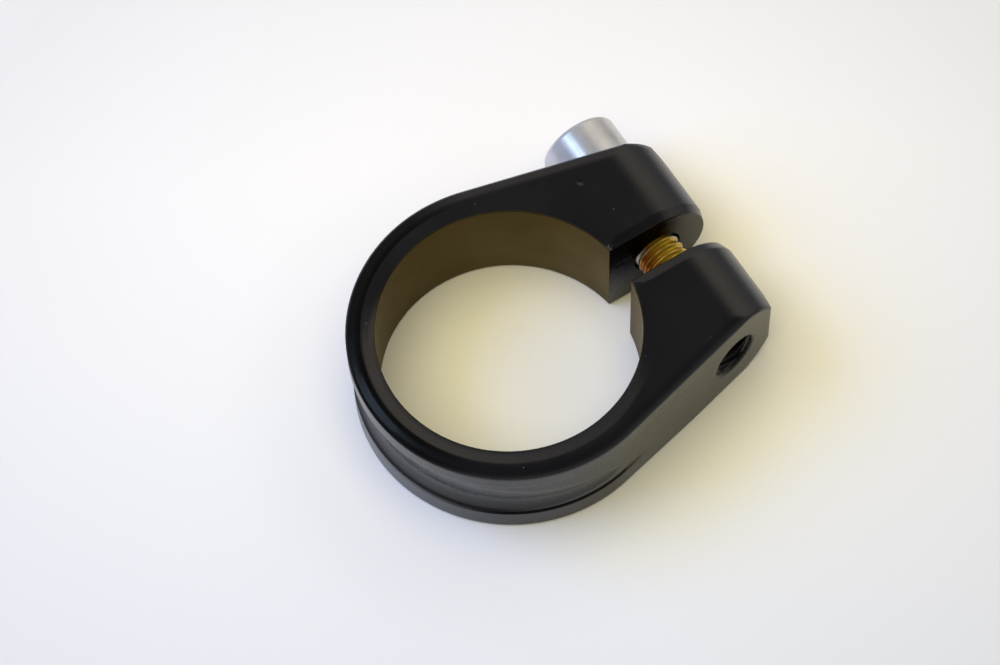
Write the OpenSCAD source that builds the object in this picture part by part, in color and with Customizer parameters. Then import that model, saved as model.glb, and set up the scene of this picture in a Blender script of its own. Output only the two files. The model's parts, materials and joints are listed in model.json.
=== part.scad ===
// Seatpost clamp: a split collar with two ears, closed by one socket head screw.
// The collar's bore stands on Z, its foot is at z = 0 and its ears point along +X.
// The screw lies along Y, with its head on the +Y ear and its thread in the -Y ear.

/* [Ring] */
// Diameter of the bore that grips the seat tube
bore_d = 31.8; // [27:0.1:38]
// Wall of the ring at its top band
wall = 3.7; // [3:0.1:5]
// How far the ring's outside is set towards the ears, so that its back is thinner
ring_shift = 0.25; // [0:0.05:0.5]
// Height of the clamp along the seat tube
height = 14.4; // [12:0.1:18]

/* [Ears] */
// Angle of each flank to the clamp's middle plane
flank_angle = 14.1; // [9:0.1:16]
// Distance from the bore's wall to the screw's axis
bolt_inset = 6.7; // [6:0.1:9]
// Width of the slot between the ears
slot_w = 4.7; // [3:0.1:6]
// Depth of the flat under the screw's head, measured on the screw's axis
seat_depth = 1.1; // [0.6:0.1:2]

/* [Groove] */
// Height of the lip at the foot of the ring
lip_h = 4; // [3:0.1:5]
// How far the lip stands back from the top band
lip_inset = 0.3; // [0.1:0.05:0.5]
// Deepest point of the groove at the ring's back, measured from the top band
groove_depth = 1.2; // [0.6:0.05:1.6]
// How much shallower the groove is at the ring's sides than at its back
groove_fade = 0.65; // [0.2:0.05:1]
// Angle at which the lip's recess runs out through each flank
recess_run = 1.5; // [0.5:0.1:3]
// Radius of the hollow curve that rises from the lip
cove_r = 3.4; // [2:0.1:4]
// Outward lean of the wall between the hollow curve and the band
wall_lean = 10; // [4:0.5:12]
// Height of the plain band at the top of the ring
band_h = 3; // [2:0.1:4]

/* [Edges] */
// Width of the shallow ease along the outer top edge
top_ease_w = 1.2; // [0.6:0.1:2]
// Height of the shallow ease along the outer top edge
top_ease_h = 0.25; // [0.1:0.05:0.5]
// Chamfer between that ease and the outer wall
edge_chamfer = 0.3; // [0.1:0.05:0.6]
// Chamfer round the foot of the collar, inside and out
foot_chamfer = 0.4; // [0.2:0.05:0.6]
// Width of the shallow ease round the bore's top edge
bore_ease_w = 1.5; // [0.6:0.1:2]
// Height of the shallow ease round the bore's top edge
bore_ease_h = 0.3; // [0.2:0.05:0.8]
// Width of the ease along the slot's edges
slot_ease_w = 1.2; // [0.4:0.1:1.6]
// Height of the ease along the slot's edges
slot_ease_h = 0.4; // [0.2:0.05:0.8]

/* [Screw] */
// Outer diameter of the screw's thread
thread_d = 6; // [5:0.5:6]
// Length of the screw below its head
bolt_len = 25; // [20:1:28]
// How far the head stands off its flat, as the loose screw in the photo does
bolt_out = 1; // [0:0.1:2]
// Diameter of the screw's head
head_d = 10; // [8.5:0.1:11]
// Height of the screw's head
head_h = 6; // [5:0.1:7]
// Radius round the rim of the head
head_round = 0.7; // [0.3:0.1:1.2]
// Width of the hexagon for the key, across its flats
key_w = 5; // [4:0.5:5]
// Depth of the hexagon for the key
key_depth = 3; // [2.5:0.1:4]
// Chamfer at the tip of the screw
tip_chamfer = 0.7; // [0.4:0.1:1]

/* [Fits] */
// Radial clearance of the thread in the threaded ear
thread_clear = 0.05; // [0.03:0.01:0.08]
// Radial clearance of the screw in the plain ear
hole_clear = 0.25; // [0.1:0.05:0.5]
// Radial clearance round the head, in its flat
seat_clear = 0.4; // [0.2:0.05:0.6]
// Chamfer at the mouth of the threaded hole
mouth_chamfer = 0.2; // [0.1:0.05:0.4]

/* [Hidden] */
$fn = 96;
overrun = 1;

bore_r = bore_d / 2;
outer_r = bore_r + wall;
bolt_x = bore_r + bolt_inset;
end_r = height / 2;
slot_half = slot_w / 2;
thread_r = thread_d / 2;
head_r = head_d / 2;

// Half-width of the collar on the screw's axis, and the face that the head sits on
flank_y = (outer_r - (bolt_x - ring_shift) * sin(flank_angle)) / cos(flank_angle);
seat_y = flank_y - seat_depth;
flank_len = bolt_x + end_r + overrun;

// Groove: the hollow curve leaves the lip's edge and ends tangent to the leaning wall
groove_r = outer_r - groove_depth;
lip_r = outer_r - lip_inset;
cove_sweep = acos(1 - (groove_depth - lip_inset) / cove_r);
cove_x = groove_r + cove_r;
cut_r = cove_x + cove_r;
cove_z = lip_h + cove_r * sin(cove_sweep);
lean_r = cove_x - cove_r * cos(wall_lean);
lean_z = cove_z + cove_r * sin(wall_lean);
band_z = height - band_h;
band_foot_r = lean_r + (band_z - lean_z) * tan(wall_lean);

// Half-section of the collar from reach to its outer face
module wall_section(reach) {
    polygon([
        [reach, 0],
        [outer_r - foot_chamfer, 0],
        [outer_r, foot_chamfer],
        [outer_r, height - top_ease_h - edge_chamfer],
        [outer_r - edge_chamfer, height - top_ease_h],
        [outer_r - top_ease_w, height],
        [reach, height]
    ]);
}

// The ring's back, up to the lines where the flanks leave it
module ring_back() {
    translate([ring_shift, 0, 0]) rotate([0, 0, 90 - flank_angle])
        rotate_extrude(angle = 180 + 2 * flank_angle) wall_section(bore_r - overrun);
}

// Round core that joins the ring's back to the ears, inside the deepest part of the groove
module ring_core() {
    cylinder(h = height, r = bore_r + wall / 2);
}

// All that lies inside one flank, ahead of the line where it leaves the ring
module inside_flank() {
    translate([ring_shift, 0, 0]) rotate([0, 0, 90 - flank_angle]) rotate([90, 0, 0])
        linear_extrude(height = flank_len) wall_section(-outer_r);
}

// All that lies between the two flanks
module between_flanks() {
    intersection() {
        inside_flank();
        mirror([0, 1, 0]) inside_flank();
    }
}

// The ears up to the screw's axis
module ears() {
    intersection() {
        between_flanks();
        translate([0, -outer_r, 0]) cube([bolt_x, 2 * outer_r, height]);
    }
}

// Turns a section of radius and place along Y half a turn about the screw's axis
module about_bolt() {
    translate([bolt_x, 0, end_r]) rotate([-90, 0, 0]) rotate([0, 0, -90])
        rotate_extrude(angle = 180) children();
}

// The half-round ends of the ears
module ear_ends() {
    intersection() {
        between_flanks();
        about_bolt() translate([0, -outer_r]) square([end_r, 2 * outer_r]);
    }
}

// Recess below the band, down past the lip's chamfered foot
module recess_section() {
    polygon([
        [lip_r - foot_chamfer, -overrun],
        [lip_r - foot_chamfer, 0],
        [lip_r, foot_chamfer],
        [lip_r, band_z],
        [cut_r, band_z],
        [cut_r, -overrun]
    ]);
}

// Hollow curve above the lip, with the leaning wall that it runs into
module groove_section() {
    polygon([
        [lip_r, lip_h],
        [cove_x, cove_z],
        [lean_r, lean_z],
        [band_foot_r, band_z],
        [cut_r, band_z],
        [cut_r, lip_h]
    ]);
    translate([cove_x, cove_z]) circle(cove_r);
}

// Takes a section round the ring's back and on in straight lines, at an angle to X
module round_back(shift, angle) {
    translate([ring_shift + shift, 0, 0]) {
        rotate([0, 0, 90 - angle])
            rotate_extrude(angle = 180 + 2 * angle) translate([shift, 0]) children();
        for (side = [0, 1]) mirror([0, side, 0]) rotate([0, 0, 90 - angle]) rotate([90, 0, 0])
            linear_extrude(height = flank_len) translate([shift, 0]) children();
    }
}

// The recess runs out slowly along the flanks, and the groove fades out where they begin
module groove() {
    round_back(0, flank_angle - recess_run) recess_section();
    round_back(groove_fade, 0) groove_section();
}

// Bore with a shallow ease at the top and a chamfer at the foot
module bore() {
    rotate_extrude() polygon([
        [0, -overrun],
        [bore_r + foot_chamfer, -overrun],
        [bore_r + foot_chamfer, 0],
        [bore_r, foot_chamfer],
        [bore_r, height - bore_ease_h],
        [bore_r + bore_ease_w, height],
        [bore_r + bore_ease_w, height + overrun],
        [0, height + overrun]
    ]);
}

// Eased edge on both sides of the slot, by its section from the screw's axis
module slot_ease_section() {
    polygon([
        [end_r - slot_ease_h, -slot_half],
        [end_r - slot_ease_h, slot_half],
        [end_r, slot_half + slot_ease_w],
        [end_r + overrun, slot_half + slot_ease_w],
        [end_r + overrun, -slot_half - slot_ease_w],
        [end_r, -slot_half - slot_ease_w]
    ]);
}

// Slot between the ears, with its edges eased above, below and round the ends
module slot() {
    translate([0, -slot_half, -overrun])
        cube([flank_len + overrun, slot_w, height + 2 * overrun]);
    for (side = [0, 1]) translate([0, 0, end_r]) mirror([0, 0, side])
        rotate([0, -90, 0]) translate([0, 0, -bolt_x])
            linear_extrude(height = bolt_x) slot_ease_section();
    about_bolt() slot_ease_section();
}

// Places a shape that stands on z = 0 on the screw's axis, pointing along +Y
module along_bolt(y) {
    translate([bolt_x, y, end_r]) rotate([-90, 0, 0]) children();
}

// Plain hole and flat seat in one ear, threaded hole in the other
module bolt_holes() {
    along_bolt(0) cylinder(h = seat_y + overrun, r = thread_r + hole_clear);
    along_bolt(seat_y) cylinder(h = outer_r, r = head_r + seat_clear);
    along_bolt(-outer_r) cylinder(h = outer_r, r = thread_r + thread_clear);
    translate([bolt_x, -flank_y, end_r]) rotate([90, 0, flank_angle])
        translate([0, 0, -thread_r - thread_clear])
            cylinder(
                h = thread_r + thread_clear + overrun,
                r1 = mouth_chamfer,
                r2 = thread_r + thread_clear + mouth_chamfer + overrun
            );
}

module collar() {
    color("#1f2023") difference() {
        union() {
            ring_back();
            ears();
            ear_ends();
            ring_core();
        }
        groove();
        bore();
        slot();
        bolt_holes();
    }
}

// Corner left outside a quarter round, to be cut away
module round_corner(r) {
    difference() {
        square(r + overrun);
        circle(r);
    }
}

// Half-section of the screw, with the underside of its head at 0
module bolt_section() {
    difference() {
        polygon([
            [0, -bolt_len],
            [thread_r - tip_chamfer, -bolt_len],
            [thread_r, tip_chamfer - bolt_len],
            [thread_r, 0],
            [head_r, 0],
            [head_r, head_h],
            [0, head_h]
        ]);
        translate([head_r - head_round, head_h - head_round]) round_corner(head_round);
    }
}

// Hexagon for the key, with the drill's cone below it
module key_socket() {
    key_r = key_w / 2 / cos(30);
    translate([0, 0, head_h - key_depth]) cylinder(h = key_depth + overrun, r = key_r, $fn = 6);
    translate([0, 0, head_h - key_depth - key_w / 4])
        cylinder(h = key_w / 4, r1 = 0, r2 = key_w / 2);
}

module bolt() {
    color("#b9bcc2") along_bolt(seat_y + bolt_out) difference() {
        rotate_extrude() bolt_section();
        key_socket();
    }
}

collar();
bolt();
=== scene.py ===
# %% [markdown]
# A seatpost clamp in Blender
#
# The real object is a split aluminium collar, black anodised, that squeezes a bicycle's seat
# tube round its seatpost. One socket head screw pulls its two ears together. The collar's
# shape comes ready from the CAD model, so this lesson gives it its finish, makes the screw
# again with a real thread, and lights the two as a soft daylight picture shows them.
# Every length is in metres, and a millimetre is written as MM.

# %% Load the frame
import json
import math
import bmesh
import bpy
from mathutils import Matrix, Vector, noise


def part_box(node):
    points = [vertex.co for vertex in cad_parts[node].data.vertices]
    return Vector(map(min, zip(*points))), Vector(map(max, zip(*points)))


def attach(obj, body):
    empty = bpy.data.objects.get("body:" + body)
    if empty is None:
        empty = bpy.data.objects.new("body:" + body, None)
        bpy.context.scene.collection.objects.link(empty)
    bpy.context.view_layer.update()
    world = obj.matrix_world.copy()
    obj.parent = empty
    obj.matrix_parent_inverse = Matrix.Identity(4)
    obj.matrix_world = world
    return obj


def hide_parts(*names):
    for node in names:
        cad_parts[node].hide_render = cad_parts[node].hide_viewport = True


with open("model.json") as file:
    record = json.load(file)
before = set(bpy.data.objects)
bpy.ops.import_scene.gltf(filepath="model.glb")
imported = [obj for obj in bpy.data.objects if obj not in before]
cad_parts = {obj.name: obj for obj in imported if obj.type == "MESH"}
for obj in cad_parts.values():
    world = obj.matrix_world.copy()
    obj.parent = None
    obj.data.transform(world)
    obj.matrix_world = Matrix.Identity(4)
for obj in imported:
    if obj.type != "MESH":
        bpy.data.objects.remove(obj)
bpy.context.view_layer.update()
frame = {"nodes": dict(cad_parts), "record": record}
MM = 0.001

# %% [markdown]
# The camera
#
# A product picture of a small part is often taken from above with a long lens, so that a
# round bore stays nearly round. The view was found by matching the bore's two circles, the
# slot and the outline. It is kept as a turn, a rise and a roll about the collar, because
# those three angles are easy to read and to change.

# %% Camera
turn, rise, roll = math.radians(29.64), math.radians(63.11), math.radians(-2.71)
distance, aim_right, aim_up = 0.43836, -0.001054, 0.006062
right = Vector((math.cos(turn), -math.sin(turn), 0))
onward = Vector((math.sin(turn), math.cos(turn), 0))
back = Vector((0, 0, math.sin(rise))) - onward * math.cos(rise)
up = back.cross(right)
place = back * distance + right * aim_right + up * aim_up
rolled_right = math.cos(roll) * right + math.sin(roll) * up
rolled_up = back.cross(rolled_right)
camera_data = bpy.data.cameras.new("camera")
camera_data.sensor_width = 36
camera_data.lens = 129.6
camera_data.clip_end = 20
camera = bpy.data.objects.new("camera", camera_data)
camera.matrix_world = Matrix((
    (rolled_right.x, rolled_up.x, back.x, place.x),
    (rolled_right.y, rolled_up.y, back.y, place.y),
    (rolled_right.z, rolled_up.z, back.z, place.z),
    (0, 0, 0, 1)))
bpy.context.scene.collection.objects.link(camera)
bpy.context.scene.camera = camera
bpy.context.scene.view_settings.view_transform = "Standard"
print("camera at", [round(v, 3) for v in place])

# %% [markdown]
# Helpers that add nodes
#
# A material is a graph of nodes. Building it by hand in code gets long, so helpers do the
# repeated work. The first adds a node and fills its sockets, each with a number, a colour or
# another node's output. The others start a material, and a group of nodes that several
# materials can share, with named inputs and outputs.

# %% Node helpers
def put(tree, kind, settings=(), **sockets):
    """Adds a node, sets its properties, and fills its sockets by name, or by number as _0."""
    node = tree.nodes.new("ShaderNode" + kind)
    for name, value in dict(settings).items():
        setattr(node, name, value)
    for name, value in sockets.items():
        index = int(name[1:]) if name[0] == "_" else name.replace("_", " ")
        fill(tree, node.inputs[index], value)
    return node


def fill(tree, socket, value):
    """Links a node's output to a socket, or writes a plain value into it."""
    if isinstance(value, bpy.types.NodeSocket):
        tree.links.new(value, socket)
    elif isinstance(value, (tuple, list)) and len(value) == 3 and socket.type == "RGBA":
        socket.default_value = (*value, 1)
    else:
        socket.default_value = value


def new_material(name):
    """Starts a material and returns it with its tree and its Principled shader."""
    material = bpy.data.materials.new(name)
    material.use_nodes = True
    tree = material.node_tree
    return material, tree, tree.nodes["Principled BSDF"]


def new_group(name, inputs, outputs):
    """Starts a shader group with named sockets, and returns it with its two end nodes."""
    group = bpy.data.node_groups.new(name, "ShaderNodeTree")
    for label, kind, value in inputs:
        socket = group.interface.new_socket(
            label, in_out="INPUT", socket_type="NodeSocket" + kind)
        if value is not None:
            socket.default_value = value
    for label, kind in outputs:
        group.interface.new_socket(label, in_out="OUTPUT", socket_type="NodeSocket" + kind)
    return group, group.nodes.new("NodeGroupInput"), group.nodes.new("NodeGroupOutput")


def use(tree, group, **sockets):
    """Places a shader group in a material."""
    node = tree.nodes.new("ShaderNodeGroup")
    node.node_tree = group
    for name, value in sockets.items():
        fill(tree, node.inputs[name.replace("_", " ")], value)
    return node


print("node helpers ready")

# %% [markdown]
# Helpers that measure
#
# Nearly all wear on a real part follows a measure: how high a point lies, how far it is from
# an axis, how far round a corner. A mask is such a measure, mapped to 0 where there is
# nothing and 1 where there is all of it. Two masks multiplied give the place where both
# hold, and a mask mixes two colours. A noise added to the measure first makes the mask's
# edge ragged, as dirt and rubbed paint are.

# %% Measuring helpers
def maths(tree, operation, first, second=0.0):
    """One sum on two values."""
    return put(tree, "Math", {"operation": operation}, _0=first, _1=second).outputs[0]


def times(tree, *values):
    """Multiplies values. Of masks, it gives the place where all of them hold."""
    product = values[0]
    for value in values[1:]:
        product = maths(tree, "MULTIPLY", product, value)
    return product


def ramp(tree, value, low, high, start=0.0, end=1.0):
    """Maps a value from low..high to start..end, and stops at both ends."""
    node = put(tree, "MapRange", {"clamp": True}, _0=value, _1=low, _2=high, _3=start, _4=end)
    return node.outputs[0]


def vector_maths(tree, operation, first, second=None):
    """The node for one sum on vectors."""
    node = put(tree, "VectorMath", {"operation": operation}, _0=first)
    if second is not None:
        fill(tree, node.inputs[1], tuple(second))
    return node


def along(tree, place, direction):
    """How far a place lies in a direction."""
    return vector_maths(tree, "DOT_PRODUCT", place, direction).outputs["Value"]


def length(tree, vector):
    """How long a vector is."""
    return vector_maths(tree, "LENGTH", vector).outputs["Value"]


def clouds(tree, place, scale, detail, roughness=0.5):
    """A noise between 0 and 1, with about as many patches to the metre as its scale says."""
    node = put(tree, "TexNoise", Vector=place, Scale=scale, Detail=detail, Roughness=roughness)
    return node.outputs[0]


def wander(tree, value, cloud, reach):
    """Shifts a value by a noise, up to half the reach either way."""
    return maths(tree, "ADD", value, times(tree, maths(tree, "SUBTRACT", cloud, 0.5), reach))


def blend(tree, mask, first, second):
    """Mixes two colours by a mask."""
    node = put(tree, "Mix", {"data_type": "RGBA"})
    for number, value in ((0, mask), (6, first), (7, second)):
        fill(tree, node.inputs[number], value)
    return node.outputs[2]


print("measuring helpers ready")

# %% [markdown]
# The floor
#
# The clamp stands on a plain white board. The board is a little cooler near the viewer, and
# greyer away from the middle, which is a painted falloff of the light. The glossy black collar
# mirrors far more of the board than the picture shows of it, and a real board ends
# somewhere, with a darker table behind. So from 9 cm out the board is dark for all rays but
# the camera's: the reflections end as they do on the real clamp, and the picture stays
# white. The board is a staged piece, so it isn't part of the clamp.

# %% Floor
board_mesh = bpy.data.meshes.new("board")
board = bpy.data.objects.new("board", board_mesh)
bpy.context.scene.collection.objects.link(board)
board_shape = bmesh.new()
bmesh.ops.create_grid(board_shape, x_segments=4, y_segments=4, size=1.6)
board_shape.to_mesh(board_mesh)
board_shape.free()

board_paint, tree, shader = new_material("board_paint")
where = put(tree, "TexCoord").outputs["Object"]
from_middle = length(tree, where)
cool, plain = (0.74, 0.77, 0.83), (0.93, 0.92, 0.91)
painted_falloff, table = (0.62, 0.63, 0.65), (0.26, 0.27, 0.31)
tone = blend(tree, ramp(tree, along(tree, where, onward), -0.045, 0.03), cool, plain)
# painted shade: the board greys away from the middle, a painted falloff of the light
tone = blend(tree, ramp(tree, from_middle, 0.035, 0.080, 0.0, 0.5), tone, painted_falloff)
not_seen = maths(tree, "SUBTRACT", 1.0, put(tree, "LightPath").outputs["Is Camera Ray"])
tone = blend(tree, times(tree, ramp(tree, from_middle, 0.090, 0.105), not_seen), tone, table)
tree.links.new(tone, shader.inputs["Base Color"])
shader.inputs["Roughness"].default_value = 0.6
board_mesh.materials.append(board_paint)
print("board", round(board.dimensions.x, 2), "m wide")

# %% [markdown]
# The lamps
#
# Three soft lamps are enough. The window is large and cool, on the left and slightly behind:
# it gives the soft shadow on the right. The ceiling is larger still and warm, and fills that
# shadow with a creamy tone. Both are kept out of reflections, because glossy black would
# show them as white patches. The gleam is the opposite: a narrow window that is seen in
# reflections only, where it draws the bright streak along the screw's head.

# %% Lamps
def soft_lamp(name, towards, reach, width, height, watts, tint):
    """Adds an area lamp that looks at the clamp from a direction."""
    data = bpy.data.lights.new(name, "AREA")
    data.shape = "RECTANGLE"
    data.size, data.size_y = width, height
    data.energy = watts
    data.color = tint
    lamp = bpy.data.objects.new(name, data)
    lamp.location = Vector(towards).normalized() * reach
    lamp.rotation_euler = lamp.location.to_track_quat("Z", "Y").to_euler()
    bpy.context.scene.collection.objects.link(lamp)
    return lamp


window = soft_lamp("window", (-0.60, 0.46, 0.58), 0.9, 0.75, 0.60, 6.6, (0.28, 0.46, 1.12))
window.visible_glossy = False
gleam = soft_lamp("gleam", (-0.42, 0.42, 0.81), 0.9, 0.20, 0.42, 1.5, (0.55, 0.74, 1.0))
gleam.visible_diffuse = False
ceiling = soft_lamp("ceiling", (-0.25, 0.0, 1.3), 1.2, 1.3, 1.3, 14.2, (1.0, 0.89, 0.50))
ceiling.visible_glossy = False
print("lamps:", window.name, gleam.name, ceiling.name)

# %% [markdown]
# The room
#
# What the collar mirrors above the board is the room, so the room's colours draw the grey
# bands on its edges and flanks. Near the horizon it is a plain grey. Higher up it is warm
# and bright at the far side, dimmer behind the viewer, and dark on the left. Overhead it is
# nearly black, which is why the collar's flat top looks so deep. The camera itself sees a
# plain pale backdrop in its place.

# %% Room
world = bpy.data.worlds.new("room")
bpy.context.scene.world = world
world.use_nodes = True
tree = world.node_tree
tree.nodes.clear()
direction = put(tree, "TexCoord").outputs["Generated"]
height = put(tree, "SeparateXYZ", _0=direction).outputs["Z"]
horizon, overhead = (0.32, 0.34, 0.38), (0.026, 0.032, 0.05)
left_tint, near_tint, far_tint = (0.07, 0.07, 0.09), (0.38, 0.36, 0.33), (0.98, 0.88, 0.74)
tint = blend(tree, ramp(tree, along(tree, direction, onward), -0.2, 0.5), near_tint, far_tint)
tint = blend(tree, ramp(tree, along(tree, direction, right), -0.7, 0.2), left_tint, tint)
tint = blend(tree, ramp(tree, height, 0.10, 0.60), horizon, tint)
tint = blend(tree, ramp(tree, height, 0.76, 0.85), tint, overhead)
room = put(tree, "Background", Color=tint, Strength=1.0)
backdrop = put(tree, "Background", Color=(0.88, 0.88, 0.87), Strength=1.0)
seen = put(tree, "LightPath").outputs["Is Camera Ray"]
both = put(tree, "MixShader", _0=seen, _1=room.outputs[0], _2=backdrop.outputs[0])
put(tree, "OutputWorld", Surface=both.outputs[0])
print("world:", world.name)

# %% [markdown]
# Specks of dust
#
# Three effects show on more than one surface, so each is made once, as a group, and placed
# in a material with its own values. The first is fine dust. A Voronoi texture scatters
# points through space and tells how far the nearest one is. A speck is where that distance
# is small. Each point also has a chance colour, which makes some specks smaller.

# %% Dust group
dust_group, ends, result = new_group(
    "dust_specks",
    [("Place", "Vector", None), ("Spacing", "Float", 2.4), ("Size", "Float", 0.05)],
    [("Mask", "Float")])
points_to_metre = maths(dust_group, "DIVIDE", 1000.0, ends.outputs["Spacing"])
spots = put(
    dust_group, "TexVoronoi", {"feature": "F1"},
    Vector=ends.outputs["Place"], Scale=points_to_metre, Randomness=1.0)
chance = put(dust_group, "SeparateColor", _0=spots.outputs["Color"]).outputs[0]
speck_size = times(dust_group, chance, ends.outputs["Size"])
in_speck = maths(dust_group, "LESS_THAN", spots.outputs["Distance"], speck_size)
dust_group.links.new(in_speck, result.inputs["Mask"])
print("group:", dust_group.name)

# %% [markdown]
# Lines of a cutting tool
#
# A turned or bored surface carries fine lines, one for each turn of the tool. They change
# along one measure only, such as the height in the bore. So the noise gets that measure as
# its X and nothing as its Y and Z, and it gives heights that stay the same across.

# %% Tool line group
lines_group, ends, result = new_group(
    "tool_lines",
    [("Along", "Float", 0.0), ("Pitch", "Float", 0.2)],
    [("Height", "Float")])
pitch_length = times(lines_group, ends.outputs["Pitch"], MM)
steps = maths(lines_group, "DIVIDE", ends.outputs["Along"], pitch_length)
line_place = put(lines_group, "CombineXYZ", _0=steps).outputs[0]
lines_group.links.new(clouds(lines_group, line_place, 1.0, 4.0, 0.7), result.inputs["Height"])
print("group:", lines_group.name)

# %% [markdown]
# Soft edges
#
# No real edge is quite sharp, and its small round catches a thin line of light. The Bevel
# node gives normals that turn softly across an edge without changing the shape. Its radius,
# in millimetres, is the group's input, because some edges are broken more than others.

# %% Soft edge group
edge_group, ends, result = new_group(
    "soft_edges",
    [("Radius", "Float", 0.25)],
    [("Normal", "Vector")])
edge_radius = times(edge_group, ends.outputs["Radius"], MM)
turned = put(edge_group, "Bevel", {"samples": 8}, Radius=edge_radius).outputs[0]
edge_group.links.new(turned, result.inputs["Normal"])
print("group:", edge_group.name)

# %% [markdown]
# Black anodised collar: where things are
#
# Anodising dyes the skin of the aluminium itself, so the colour is black with a hard, half
# glossy surface, and nothing metallic shows. It mirrors more light the flatter one looks
# along it, which is why the walls look grey beside the black top. Everything that follows
# on the collar is placed by a few measures: the distance from the bore's axis, from the
# middle plane, and from the ears, along the ring's left.

# %% Collar measures
collar_finish, tree, shader = new_material("collar_finish")
where = put(tree, "TexCoord").outputs["Object"]
split = put(tree, "SeparateXYZ", _0=where)
x, y, z = split.outputs["X"], split.outputs["Y"], split.outputs["Z"]
flat_place = put(tree, "CombineXYZ", _0=x, _1=y).outputs[0]
radius = length(tree, flat_place)
off_middle = maths(tree, "ABSOLUTE", y)
leftwards = along(tree, flat_place, (-0.87, 0.49, 0))
in_bore = ramp(tree, radius, 15.97 * MM, 16.02 * MM, 1.0, 0.0)
outside = maths(tree, "GREATER_THAN", radius, 17.6 * MM)
print("measures of", collar_finish.name, "ready")

# %% [markdown]
# The brown bore
#
# The bore's skin is thinner than the outside's, and brown, so the metal shines through. It
# is treated as a brown metal: a metal tints what it mirrors, and here that gives the warm
# olive of the real wall. It gets paler towards the foot, in streaks along the tool's lines.

# %% Bore
black, brown, pale_brown = (0.0048, 0.0046, 0.0055), (0.066, 0.048, 0.015), (0.150, 0.125, 0.075)
slanted = maths(tree, "SUBTRACT", z, times(tree, x, 0.35))
lower_down = ramp(tree, slanted, 14.0 * MM, -4.0 * MM)
bore_lines = use(tree, lines_group, Along=z, Pitch=0.35).outputs["Height"]
streaky = wander(tree, clouds(tree, where, 140.0, 3.0), bore_lines, 0.5)
paler = times(tree, lower_down, ramp(tree, streaky, 0.25, 0.7, 0.35, 1.0))
tone = blend(tree, in_bore, black, blend(tree, paler, brown, pale_brown))
print("bore: brown", brown, "to", pale_brown)

# %% [markdown]
# Small marks
#
# A used part is known by its few marks. Fine dust lies all over it, with some larger flecks
# on the flat top. The slot's face beside the screw gets a painted reflection of the brown
# thread. The corner where the slot meets the bore is chipped, and one ear has a small dint.
# Each is a mask round one place, and a noise makes the rim of most of them ragged.

# %% Marks
specks = use(tree, dust_group, Place=where, Spacing=2.6, Size=0.045).outputs["Mask"]
tone = blend(tree, times(tree, specks, 0.25), tone, (0.35, 0.35, 0.33))


def mark(place_mm, size_mm, soft_mm, ragged_mm=0.0):
    """Mask of a mark at a place on the collar, full to its size and gone after a soft rim."""
    middle = tuple(v * MM for v in place_mm)
    gap = vector_maths(tree, "DISTANCE", where, middle).outputs["Value"]
    if ragged_mm:
        gap = wander(tree, gap, clouds(tree, where, 2600.0, 2.0), ragged_mm * MM)
    return ramp(tree, gap, size_mm * MM, (size_mm + soft_mm) * MM, 1.0, 0.0)


TOP_MM = 14.4
FLECKS = [
    (19.17, 6.84), (5.5, 16.4), (4.55, 15.54),
    (14.02, -9.27), (-6.58, -18.12), (-18.49, 4.54)]
for fleck_x, fleck_y in FLECKS:
    fleck = mark((fleck_x, fleck_y, TOP_MM), 0.07, 0.05, 0.15)
    tone = blend(tree, times(tree, fleck, 0.12), tone, (0.40, 0.38, 0.30))
# painted reflection: a brown patch on the slot's face where it mirrors the thread
painted_thread_reflection = mark((21.5, 2.3, 12.2), 0.4, 1.6, 1.5)
tone = blend(tree, times(tree, painted_thread_reflection, 0.8), tone, (0.045, 0.016, 0.002))
chipped = mark((15.5, 2.6, 14.0), 0.35, 0.3, 2.6)
tone = blend(tree, times(tree, chipped, 0.5), tone, (0.09, 0.085, 0.07))
dint = mark((17.83, 12.07, TOP_MM), 0.05, 0.45)
print("flecks:", len(FLECKS))

# %% [markdown]
# Painted shade in the slot, the groove and at the left edge
#
# Three places are painted to mirror less than clean black does. The upper part of the slot is
# darkened as far as the screw, as painted shade between the ears. A dark line is painted above
# the lip, round the ring's back, as painted shade in the groove's foot. And the ring's outer
# edge on the left is painted duller, which takes the gleam's reflection off it. All three are
# one mask, the strongest of the three at each point.

# %% Painted shade
# painted shade: the upper part of the slot between the ears, darkened as far as the screw
in_slot = times(
    tree,
    maths(tree, "LESS_THAN", off_middle, 2.4 * MM),
    maths(tree, "GREATER_THAN", x, 15.0 * MM))
spread = clouds(tree, where, 700.0, 4.0, 0.6)
not_low = ramp(tree, wander(tree, z, spread, 6.0 * MM), 2.0 * MM, 10.0 * MM)
to_screw = ramp(tree, wander(tree, x, spread, 3.0 * MM), 23.0 * MM, 26.5 * MM, 1.0, 0.0)
painted_slot_shade = times(tree, in_slot, not_low, to_screw)

# painted shade: a dark line above the lip, in the groove's foot
above_lip = times(
    tree,
    ramp(tree, z, 3.1 * MM, 3.5 * MM),
    ramp(tree, z, 4.15 * MM, 4.6 * MM, 1.0, 0.0))
round_ring = ramp(tree, x, 4.0 * MM, 9.0 * MM, 1.0, 0.0)
thinner = ramp(tree, leftwards, 2.0 * MM, 13.0 * MM, 0.92, 0.45)
painted_groove_shade = times(tree, above_lip, outside, round_ring, thinner)

# painted shade: the ring's left outer edge is dulled to take the gleam's reflection off it
at_left = ramp(tree, leftwards, 5.0 * MM, 11.0 * MM)
painted_edge_dim = times(tree, outside, at_left, ramp(tree, z, 13.3 * MM, 13.8 * MM))

# painted shade: the three painted masks above, joined in one
painted_shade = maths(tree, "MAXIMUM", times(tree, painted_slot_shade, 0.86), painted_groove_shade)
painted_shade = maths(tree, "MAXIMUM", painted_shade, times(tree, painted_edge_dim, 0.5))
print("dulled places ready")
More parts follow.
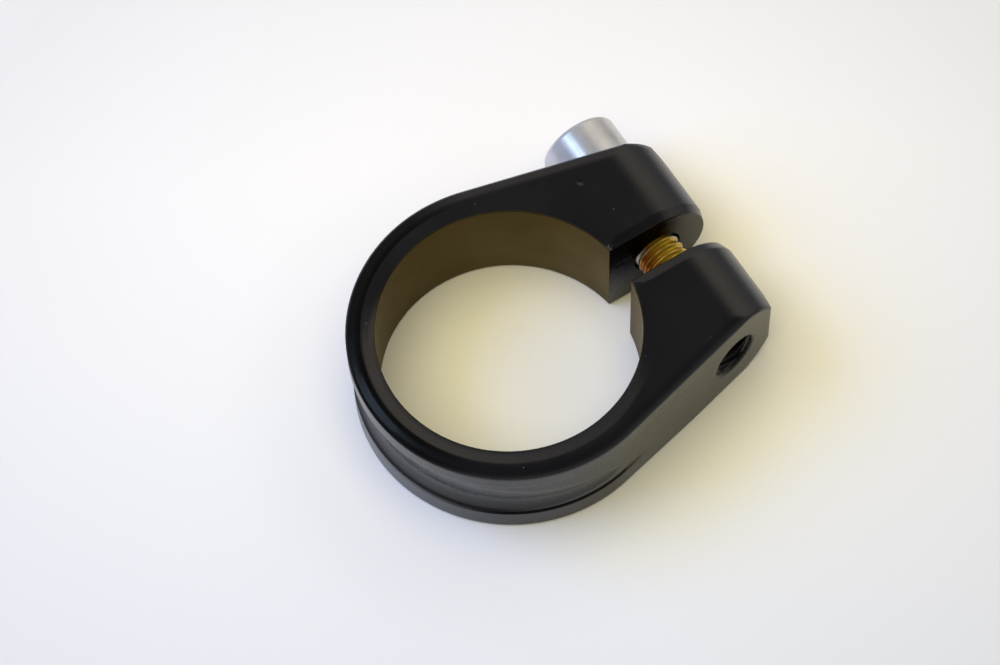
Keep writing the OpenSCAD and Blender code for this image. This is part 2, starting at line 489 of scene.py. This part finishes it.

# %% [markdown]
# The collar's colour and shine
#
# The wall on the left is painted a little greyer: a painted sheen. The painted shade and
# the bore are set as metal, each for its own reason: a metal mirrors with its own colour, so
# a nearly black metal mirrors nearly nothing, which makes the painted shade, and a brown one
# gives the bore its warmth. The specular tint is what a metal turns to at a flat angle,
# and keeps both from going white there. The roughness is a half gloss with cloudy changes.

# %% Collar colour
# painted sheen: the outer wall on the left is painted greyer, as a soft highlight
below_edge = maths(tree, "LESS_THAN", z, 13.5 * MM)
painted_sheen = times(tree, below_edge, outside, ramp(tree, leftwards, 2.0 * MM, 11.0 * MM, 0.0, 0.8))
tone = blend(tree, painted_sheen, tone, (0.034, 0.034, 0.035))
tree.links.new(blend(tree, painted_shade, tone, (0.003, 0.0025, 0.002)), shader.inputs["Base Color"])
tree.links.new(maths(tree, "MAXIMUM", in_bore, painted_shade), shader.inputs["Metallic"])
flat_tint = blend(tree, in_bore, (1, 1, 1), (0.75, 0.70, 0.63))
flat_tint = blend(tree, painted_shade, flat_tint, (0.3, 0.28, 0.26))
tree.links.new(flat_tint, shader.inputs["Specular Tint"])
gloss = ramp(tree, clouds(tree, where, 90.0, 5.0, 0.6), 0.3, 0.7, 0.22, 0.32)
rougher = times(tree, in_bore, 0.12)
tree.links.new(maths(tree, "ADD", gloss, rougher), shader.inputs["Roughness"])
shader.inputs["IOR"].default_value = 1.5
print("colour and shine set")

# %% [markdown]
# Edges of the collar
#
# The outer top edge was rounded before the dyeing, and its round is wide, nearly 1 mm. In
# the groove and beside the slot the edges are crisp. Round the bore's mouth the CAD model
# has a flat ease. The real one is round, and on the front left it mirrors a soft band. Only
# the normals change there: they lean inwards, more and more, as they would on a round, and
# the lean fades out towards the ring's far side.

# %% Collar edges
above_groove = maths(
    tree, "MAXIMUM",
    ramp(tree, z, 10.8 * MM, 11.2 * MM),
    ramp(tree, x, 17.0 * MM, 19.0 * MM))
away_from_slot = ramp(tree, off_middle, 3.8 * MM, 4.4 * MM)
wide = times(tree, above_groove, away_from_slot, outside)
edge_width = ramp(tree, wide, 0.0, 1.0, 0.25, 0.9)
soft = use(tree, edge_group, Radius=edge_width).outputs["Normal"]

facing_up = put(tree, "SeparateXYZ", _0=put(tree, "NewGeometry").outputs["Normal"]).outputs["Z"]
clear_of_slot = maths(
    tree, "MAXIMUM",
    maths(tree, "GREATER_THAN", off_middle, 3.55 * MM),
    maths(tree, "LESS_THAN", x, 0.0))
on_mouth = times(
    tree,
    maths(tree, "GREATER_THAN", facing_up, 0.9),
    maths(tree, "GREATER_THAN", z, 14.05 * MM),
    maths(tree, "LESS_THAN", radius, 17.85 * MM),
    clear_of_slot)
front_left = along(tree, flat_place, (-0.78, -0.62, 0))
first_lean = ramp(tree, radius, 17.8 * MM, 17.2 * MM, 0.0, 0.34)
last_lean = ramp(tree, radius, 16.7 * MM, 15.95 * MM, 0.0, 0.36)
lean = times(
    tree,
    maths(tree, "ADD", first_lean, last_lean),
    ramp(tree, front_left, -4.0 * MM, 8.0 * MM))
outward = vector_maths(tree, "NORMALIZE", flat_place).outputs[0]
leaning = put(
    tree, "VectorMath", {"operation": "SCALE"}, _0=outward, Scale=times(tree, lean, -1.0))
leaned = vector_maths(tree, "ADD", leaning.outputs[0], (0, 0, 1)).outputs[0]
rounded = vector_maths(tree, "NORMALIZE", leaned).outputs[0]
either = put(tree, "Mix", {"data_type": "VECTOR"})
for number, value in ((0, on_mouth), (4, soft), (5, rounded)):
    fill(tree, either.inputs[number], value)
edge_normal = either.outputs[1]
print("edges ready")

# %% [markdown]
# Relief of the skin
#
# The last layer is relief too fine to model: the skin's grain, the tool's lines in the bore,
# the dint and the chipped corner, both of which go down. A Bump node turns these heights
# into normals, on top of those of the soft edges. Then the collar gets the material. It is
# the CAD model's own mesh, and only its material changes.

# %% Collar relief
grain = times(tree, clouds(tree, where, 4200.0, 2.0), 0.15)
heights = maths(tree, "ADD", grain, times(tree, bore_lines, in_bore))
hollows = maths(tree, "ADD", times(tree, dint, 12.0), times(tree, chipped, 3.0))
heights = maths(tree, "SUBTRACT", heights, hollows)
bump = put(tree, "Bump", Strength=0.35, Distance=0.02 * MM, Height=heights, Normal=edge_normal)
tree.links.new(bump.outputs[0], shader.inputs["Normal"])

collar = frame["nodes"]["collar"]
collar.data.materials.clear()
collar.data.materials.append(collar_finish)
print("collar:", len(collar.data.polygons), "faces")

# %% [markdown]
# The screw: where it is
#
# The screw is a standard socket head screw, 6 mm across its thread. The CAD model has a
# plain shank in place of the thread, because a thread is too fine for collision. Here the
# screw is made again. It must stay where the CAD model has it, so its axis comes from the
# joint that it turns on, and its two ends from the box round the CAD screw.

# %% Screw: where it is
screw_axis = Vector(frame["record"]["behaviour"]["joints"][0]["pos_m"])
screw_low, screw_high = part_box("bolt")
HEAD_RADIUS_MM, HEAD_HEIGHT_MM, KEY_WIDTH_MM = 5.0, 6.0, 5.0
THREAD_RADIUS, THREAD_ROOT, PITCH = 2.99 * MM, 2.62 * MM, 1.0 * MM
head_face = screw_high[1]
head_foot = head_face - HEAD_HEIGHT_MM * MM
screw_tip = screw_low[1]


def on_screw(radius, angle, y):
    """A point at a radius and an angle about the screw's axis, right-handed about +Y."""
    return Vector((
        screw_axis.x + radius * math.sin(angle), y, screw_axis.z + radius * math.cos(angle)))


print("head from y", round(head_foot / MM, 2), "to", round(head_face / MM, 2), "mm,",
      "tip at", round(screw_tip / MM, 2))

# %% [markdown]
# The screw's head
#
# The head is forged and then turned, with a rounded rim and a hexagon for the key. It is made
# of rings of points about the axis, closed by faces from ring to ring. Rings need no
# modifiers, and they put an edge exactly where the real screw has one. A ring's radius may
# change with the angle, so the same helper makes the hexagon.

# %% Screw: head
AROUND = 96
RIM_MM, RIM_STEPS = 0.7, 8


def add_rings(shape, rings):
    """Joins rings of points, each given by its radius at an angle and its place on the axis."""
    angles = [2 * math.pi * step / AROUND for step in range(AROUND)]
    made = [
        [shape.verts.new(on_screw(radius_at(angle), angle, y)) for angle in angles]
        for radius_at, y in rings]
    for lower, upper in zip(made, made[1:]):
        for step in range(AROUND):
            after = (step + 1) % AROUND
            shape.faces.new((lower[step], lower[after], upper[after], upper[step]))
    return made


def round_to(radius_mm):
    """A ring that is a circle."""
    return lambda angle: radius_mm * MM


def key_edge(angle):
    """A ring that is the hexagon for the key, with a flat in the middle of each sixth."""
    from_flat = (angle + math.pi / 6) % (math.pi / 3) - math.pi / 6
    return KEY_WIDTH_MM * MM / 2 / math.cos(from_flat)


head_rings = [
    (round_to(2.4), head_foot),
    (round_to(HEAD_RADIUS_MM - 0.2), head_foot),
    (round_to(HEAD_RADIUS_MM), head_foot + 0.2 * MM),
]
for step in range(RIM_STEPS + 1):
    bend = math.radians(90 * step / RIM_STEPS)
    head_rings.append((
        round_to(HEAD_RADIUS_MM - RIM_MM + RIM_MM * math.cos(bend)),
        head_face + (RIM_MM * math.sin(bend) - RIM_MM) * MM))
head_rings += [
    (round_to(3.15), head_face),
    (key_edge, head_face - 0.14 * MM),
    (key_edge, head_face - 3.0 * MM),
    (round_to(2.3), head_face - 3.0 * MM),
    (round_to(0.05), head_face - 4.2 * MM),
]
screw_shape = bmesh.new()
head_loops = add_rings(screw_shape, head_rings)
screw_shape.faces.new(head_loops[-1])
print("head faces:", len(screw_shape.faces))

# %% [markdown]
# The rolled thread
#
# A rolled thread is one strip that climbs by its pitch in each turn. Its profile is a row of
# points over one pitch: how far along, and how deep, from 0 at the crest to 1 at the root.
# The points repeat from pitch to pitch, and each goes once round the axis while it climbs.
# Where the strip would pass an end, it is held there, so the thread stops square. A noise
# takes a little off the crests, which are never quite even on a used screw.

# %% Thread helper
THREAD_FORM = [
    (0.0, 0.0), (0.06, 0.03), (0.12, 0.14), (0.22, 0.45), (0.34, 0.82), (0.42, 0.96),
    (0.5, 1.0), (0.58, 0.96), (0.66, 0.82), (0.78, 0.45), (0.88, 0.14), (0.94, 0.03)]


def add_thread(shape, crest, root, start, end, ragged=0.0):
    """Adds a right-handed thread between two places on the axis, each given at an angle."""
    first = math.floor(start(math.pi / 2) / PITCH) - 3
    last = math.ceil(end(0) / PITCH) + 2
    profile = [
        (number + share, depth) for number in range(first, last) for share, depth in THREAD_FORM]
    rows = []
    for climb, depth in profile:
        row = []
        for step in range(AROUND + 1):
            angle = 2 * math.pi * step / AROUND
            y = (climb + step / AROUND) * PITCH
            spot = Vector((3 * math.sin(angle), 3 * math.cos(angle), y / MM))
            nick = abs(noise.noise(spot) * ragged * (1 - depth))
            radius = crest + (root - crest) * depth - nick
            held = min(max(y, start(angle)), end(angle))
            row.append(shape.verts.new(on_screw(radius, angle, held)))
        rows.append(row)
    for lower, upper in zip(rows, rows[1:]):
        for step in range(AROUND):
            shape.faces.new((lower[step], lower[step + 1], upper[step + 1], upper[step]))


def close_thread(shape):
    """Merges the points that a thread's strip has twice, and drops what that leaves flat."""
    bmesh.ops.remove_doubles(shape, verts=shape.verts, dist=0.002 * MM)
    bmesh.ops.dissolve_degenerate(shape, edges=shape.edges, dist=0.001 * MM)


def finish_mesh(shape, name):
    """Turns a shape into an object, smooth but for edges that turn by more than 38 degrees."""
    for face in shape.faces:
        face.smooth = True
    mesh = bpy.data.meshes.new(name)
    shape.to_mesh(mesh)
    shape.free()
    mesh.set_sharp_from_angle(angle=math.radians(38))
    made = bpy.data.objects.new(name, mesh)
    bpy.context.scene.collection.objects.link(made)
    return made


print("points in one pitch:", len(THREAD_FORM))

# %% [markdown]
# The screw's thread and tip
#
# The thread runs from the tip to just inside the head. The tip is cut to a cone, so that the
# screw finds its hole: every point near the tip is drawn in to that cone, which trims crests
# and leaves roots alone. The head gets the first material and the thread the second. The
# finished screw rides on the body that turns, and takes the place of the CAD screw.

# %% Screw: thread and tip
add_thread(
    screw_shape, THREAD_RADIUS, THREAD_ROOT,
    lambda angle: screw_tip, lambda angle: head_foot + 0.05 * MM, ragged=0.10 * MM)
tip_cut = 0.7 * MM
for vert in screw_shape.verts:
    from_tip = vert.co.y - screw_tip
    if from_tip < tip_cut:
        out = Vector((vert.co.x - screw_axis.x, 0, vert.co.z - screw_axis.z))
        most = THREAD_RADIUS - tip_cut + from_tip
        if out.length > most:
            vert.co -= out * (1 - most / out.length)
tip_loop = [
    screw_shape.verts.new(
        on_screw(THREAD_RADIUS - tip_cut, 2 * math.pi * step / AROUND, screw_tip))
    for step in range(AROUND)]
screw_shape.faces.new(list(reversed(tip_loop)))
close_thread(screw_shape)
bmesh.ops.recalc_face_normals(screw_shape, faces=screw_shape.faces)
for face in screw_shape.faces:
    face.material_index = 0 if face.calc_center_median().y > head_foot else 1
screw = finish_mesh(screw_shape, "screw")
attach(screw, "bolt")
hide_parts("bolt")
print("screw:", len(screw.data.polygons), "faces")

# %% [markdown]
# Steel for the head
#
# The head is plated steel that was drawn through a die, so its side carries fine lines along
# the axis. Such lines spread a reflection sideways, and the gleam becomes a soft streak.
# They come from a noise that is stretched along the axis until it only changes round the
# head. The metallic value is well below 1, because a dull plating also scatters light.

# %% Head steel
head_steel, tree, shader = new_material("head_steel")
where = put(tree, "TexCoord").outputs["Object"]
from_axis = vector_maths(tree, "SUBTRACT", where, screw_axis).outputs[0]
split = put(tree, "SeparateXYZ", _0=from_axis)
stretched = put(
    tree, "CombineXYZ",
    _0=split.outputs["X"], _1=times(tree, split.outputs["Y"], 0.02), _2=split.outputs["Z"])
drawn = clouds(tree, stretched.outputs[0], 2600.0, 5.0, 0.65)
steel, dull, lined = (0.66, 0.66, 0.68), (0.52, 0.51, 0.50), (0.62, 0.62, 0.64)
tone = blend(tree, ramp(tree, clouds(tree, where, 420.0, 3.0), 0.4, 0.75), steel, dull)
tone = blend(tree, times(tree, drawn, 0.5), tone, lined)
tree.links.new(tone, shader.inputs["Base Color"])
tree.links.new(ramp(tree, drawn, 0.3, 0.7, 0.26, 0.36), shader.inputs["Roughness"])
shader.inputs["Metallic"].default_value = 0.65
soft = use(tree, edge_group, Radius=0.25).outputs["Normal"]
bump = put(tree, "Bump", Strength=0.4, Distance=0.02 * MM, Height=drawn, Normal=soft)
tree.links.new(bump.outputs[0], shader.inputs["Normal"])
screw.data.materials.append(head_steel)
print("head:", head_steel.name)

# %% [markdown]
# Yellow plating for the thread
#
# The thread still wears its yellow plating. Towards the bore, where damp and dirt get at it,
# it has turned orange, and its crests are rubbed bright: how far a point is from the screw's
# axis tells crest from root. Where the thread goes into the plain ear, the hole's rim has
# worn both its sides down to grey metal, with a ragged border.

# %% Thread plating
plated_thread, tree, shader = new_material("plated_thread")
where = put(tree, "TexCoord").outputs["Object"]
from_axis = vector_maths(tree, "SUBTRACT", where, screw_axis).outputs[0]
split = put(tree, "SeparateXYZ", _0=from_axis)
across = put(tree, "CombineXYZ", _0=split.outputs["X"], _2=split.outputs["Z"]).outputs[0]
patchy = clouds(tree, where, 900.0, 4.0, 0.6)
crest = ramp(tree, wander(tree, length(tree, across), patchy, 0.3 * MM), 2.86 * MM, 3.0 * MM)
orange, gold = (0.34, 0.095, 0.004), (0.52, 0.33, 0.022)
bright, bare = (0.78, 0.60, 0.20), (0.50, 0.50, 0.50)
tone = blend(tree, ramp(tree, split.outputs["X"], -2.2 * MM, 0.0), orange, gold)
tone = blend(tree, times(tree, crest, 0.5), tone, bright)
at_hole = ramp(tree, wander(tree, split.outputs["Y"], patchy, 2.4 * MM), 1.8 * MM, 2.0 * MM)
to_side = maths(tree, "ABSOLUTE", split.outputs["X"])
rubbed = times(tree, at_hole, ramp(tree, to_side, 1.4 * MM, 2.4 * MM, 0.0, 0.8))
tree.links.new(blend(tree, rubbed, tone, bare), shader.inputs["Base Color"])
tree.links.new(ramp(tree, patchy, 0.3, 0.7, 0.14, 0.34), shader.inputs["Roughness"])
shader.inputs["Metallic"].default_value = 0.65
bump = put(tree, "Bump", Strength=0.6, Distance=0.05 * MM, Height=patchy)
tree.links.new(bump.outputs[0], shader.inputs["Normal"])
screw.data.materials.append(plated_thread)
print("screw finishes:", [material.name for material in screw.data.materials])

# %% [markdown]
# The tapped hole
#
# The ear away from the head is the nut: its hole is tapped. The CAD model has it as a plain
# hole, a little wider than the screw. The turns beyond the screw's tip can be seen from
# outside, where they glint, so those are made, with the same strip as the screw's thread
# and in the collar's own black. They stop just before the hole's mouth, which slants
# because the ear's flank does: the sum for the mouth is the flank's line, in the collar's
# own sizes.

# %% Tapped hole
OUTER_RADIUS, RING_SHIFT, FLANK_ANGLE = 19.6 * MM, 0.25 * MM, math.radians(14.1)
HOLE_RADIUS, HOLE_CREST, HOLE_ROOT = 3.0 * MM, 3.04 * MM, 2.52 * MM


def mouth(angle):
    """Where the thread stops short of the slanting flank, at an angle about the axis."""
    from_ring = screw_axis.x + HOLE_RADIUS * math.sin(angle) - RING_SHIFT
    flank = (OUTER_RADIUS - from_ring * math.sin(FLANK_ANGLE)) / math.cos(FLANK_ANGLE)
    return 0.45 * MM - flank


tapped_shape = bmesh.new()
add_thread(tapped_shape, HOLE_CREST, HOLE_ROOT, mouth, lambda angle: screw_tip - 0.3 * MM)
close_thread(tapped_shape)
tapped_thread = finish_mesh(tapped_shape, "tapped_thread")
tapped_thread.data.materials.append(collar_finish)
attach(tapped_thread, "collar")
print("tapped thread:", len(tapped_thread.data.polygons), "faces")
